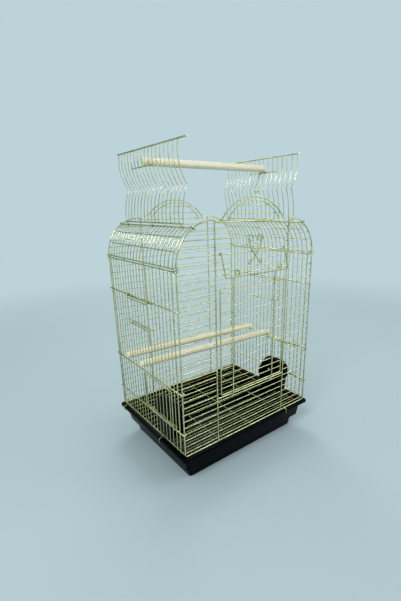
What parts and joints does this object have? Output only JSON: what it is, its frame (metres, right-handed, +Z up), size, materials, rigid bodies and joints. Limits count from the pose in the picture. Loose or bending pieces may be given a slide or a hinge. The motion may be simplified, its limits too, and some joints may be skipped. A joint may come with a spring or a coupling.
{
  "type": "parrot cage",
  "caption": "Open-top wire bird cage with shoulder roof, standing flaps, drop-down door, side doors, hooded cups, perches and a black tray.",
  "frame": {"origin": "middle of the tray's underside, on the surface that the cage stands on", "axes": "X along the long front, -Y out of the front with the door, +Z up"},
  "size_m": [0.485, 0.3872, 0.8282],
  "materials": {
    "brass_wire": "bright",
    "brass_rod": "bright",
    "black_plastic": "gloss",
    "dowel_wood": "bare"
  },
  "bodies": {
    "cage": {"tray": "black_plastic", "floor_grate": "brass_wire", "front_left_grille": "brass_wire", "front_right_grille": "brass_wire", "front_sill_grille": "brass_wire", "front_gable_grille": "brass_wire", "back_panel": "brass_wire", "left_wall": "brass_wire", "right_wall": "brass_wire", "left_roof": "brass_wire", "right_roof": "brass_wire", "front_scroll": "brass_rod", "left_front_clip": "brass_rod", "left_back_clip": "brass_rod", "right_front_clip": "brass_rod", "right_back_clip": "brass_rod", "door_side_clip": "brass_rod"},
    "left_flap": {"left_flap": "brass_wire"},
    "right_flap": {"right_flap": "brass_wire"},
    "top_latch": {"top_latch": "brass_rod"},
    "top_perch": {"top_perch": "dowel_wood"},
    "front_door": {"front_door": "brass_wire"},
    "door_bail": {"door_bail": "brass_rod"},
    "left_upper_door": {"left_upper_door": "brass_wire"},
    "right_upper_door": {"right_upper_door": "brass_wire"},
    "left_feeder_door": {"left_feeder_door": "brass_wire"},
    "right_feeder_door": {"right_feeder_door": "brass_wire"},
    "left_cup": {"left_cup": "black_plastic"},
    "right_cup": {"right_cup": "black_plastic"},
    "front_perch": {"front_perch": "dowel_wood"},
    "back_perch": {"back_perch": "dowel_wood"}
  },
  "joints": [
    {"name": "left_flap_hinge", "type": "hinge", "parent": "cage", "child": "left_flap", "pos_m": [-0.18105, 0, 0.65208], "axis": [0, -1, 0], "range_deg": [0, 75]},
    {"name": "right_flap_hinge", "type": "hinge", "parent": "cage", "child": "right_flap", "pos_m": [0.18105, 0, 0.65208], "axis": [0, 1, 0], "range_deg": [0, 75]},
    {"name": "top_latch_hinge", "type": "hinge", "parent": "right_flap", "child": "top_latch", "pos_m": [0.18272, 0, 0.78808], "axis": [0, 1, 0], "range_deg": [0, 65]},
    {"name": "top_perch_lift", "type": "slide", "parent": "cage", "child": "top_perch", "axis": [0, 0, 1], "range_m": [0, 0.09]},
    {"name": "front_door_hinge", "type": "hinge", "parent": "cage", "child": "front_door", "pos_m": [0, -0.178, 0.222], "axis": [1, 0, 0], "range_deg": [0, 100]},
    {"name": "bail_hinge", "type": "hinge", "parent": "cage", "child": "door_bail", "pos_m": [0, -0.178, 0.59], "axis": [-1, 0, 0], "range_deg": [0, 130]},
    {"name": "left_upper_door_hinge", "type": "hinge", "parent": "cage", "child": "left_upper_door", "pos_m": [-0.2327, 0, 0.475], "axis": [0, 1, 0], "range_deg": [0, 100]},
    {"name": "left_feeder_door_hinge", "type": "hinge", "parent": "cage", "child": "left_feeder_door", "pos_m": [-0.2327, 0, 0.161], "axis": [0, -1, 0], "range_deg": [0, 120]},
    {"name": "left_cup_lift", "type": "slide", "parent": "cage", "child": "left_cup", "axis": [0, 0, 1], "range_m": [0, 0.03]},
    {"name": "right_upper_door_hinge", "type": "hinge", "parent": "cage", "child": "right_upper_door", "pos_m": [0.2327, 0, 0.475], "axis": [0, -1, 0], "range_deg": [0, 100]},
    {"name": "right_feeder_door_hinge", "type": "hinge", "parent": "cage", "child": "right_feeder_door", "pos_m": [0.2327, 0, 0.161], "axis": [0, 1, 0], "range_deg": [0, 120]},
    {"name": "right_cup_lift", "type": "slide", "parent": "cage", "child": "right_cup", "axis": [0, 0, 1], "range_m": [0, 0.03]},
    {"name": "front_perch_lift", "type": "slide", "parent": "cage", "child": "front_perch", "axis": [0, 0, 1], "range_m": [0, 0.1]},
    {"name": "back_perch_lift", "type": "slide", "parent": "cage", "child": "back_perch", "axis": [0, 0, 1], "range_m": [0, 0.1]}
  ]
}
